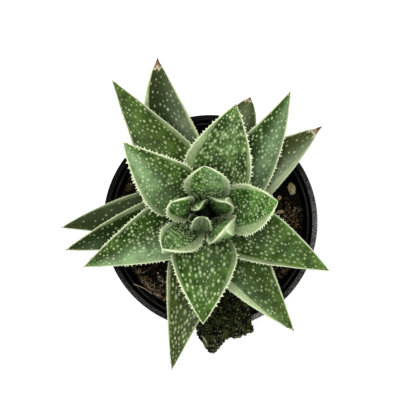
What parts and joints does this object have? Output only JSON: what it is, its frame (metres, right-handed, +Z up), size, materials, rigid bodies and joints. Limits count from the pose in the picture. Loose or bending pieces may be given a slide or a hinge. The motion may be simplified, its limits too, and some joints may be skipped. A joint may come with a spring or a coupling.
{
  "type": "potted gasteria",
  "caption": "Warty succulent rosette with thick toothed, channelled leaves on a short stem, in soil in a round black nursery pot.",
  "frame": {"origin": "middle of the pot's flat foot, on the surface that it stands on", "axes": "+Z up; +Y is the top edge of the picture, which looks straight down on the plant, and +X its right edge"},
  "size_m": [0.1233, 0.145, 0.131],
  "materials": {
    "pot_plastic": "satin",
    "soil_dark": "matte",
    "stem_green": "matte",
    "moss_brown": "matte",
    "pumice_tan": "matte",
    "leaf_old": "satin",
    "leaf_grown": "satin",
    "leaf_young": "satin"
  },
  "bodies": {
    "root": {"pot": "pot_plastic", "potting_mix": "soil_dark", "stem": "stem_green", "mossy_clod": "moss_brown", "pumice_grain_1": "pumice_tan", "pumice_grain_2": "pumice_tan", "pumice_grain_3": "pumice_tan", "leaf_01": "leaf_old", "leaf_02": "leaf_old", "leaf_03": "leaf_old", "leaf_04": "leaf_old", "leaf_05": "leaf_old", "leaf_06": "leaf_grown", "leaf_07": "leaf_grown", "leaf_08": "leaf_grown", "leaf_09": "leaf_grown", "leaf_10": "leaf_grown", "leaf_11": "leaf_grown", "leaf_12": "leaf_grown", "leaf_13": "leaf_grown", "leaf_14": "leaf_grown", "leaf_15": "leaf_young", "leaf_16": "leaf_young", "leaf_17": "leaf_young", "leaf_18": "leaf_young", "leaf_19": "leaf_young", "leaf_20": "leaf_young", "leaf_21": "leaf_young", "leaf_22": "leaf_young", "leaf_23": "leaf_young"}
  },
  "joints": []
}
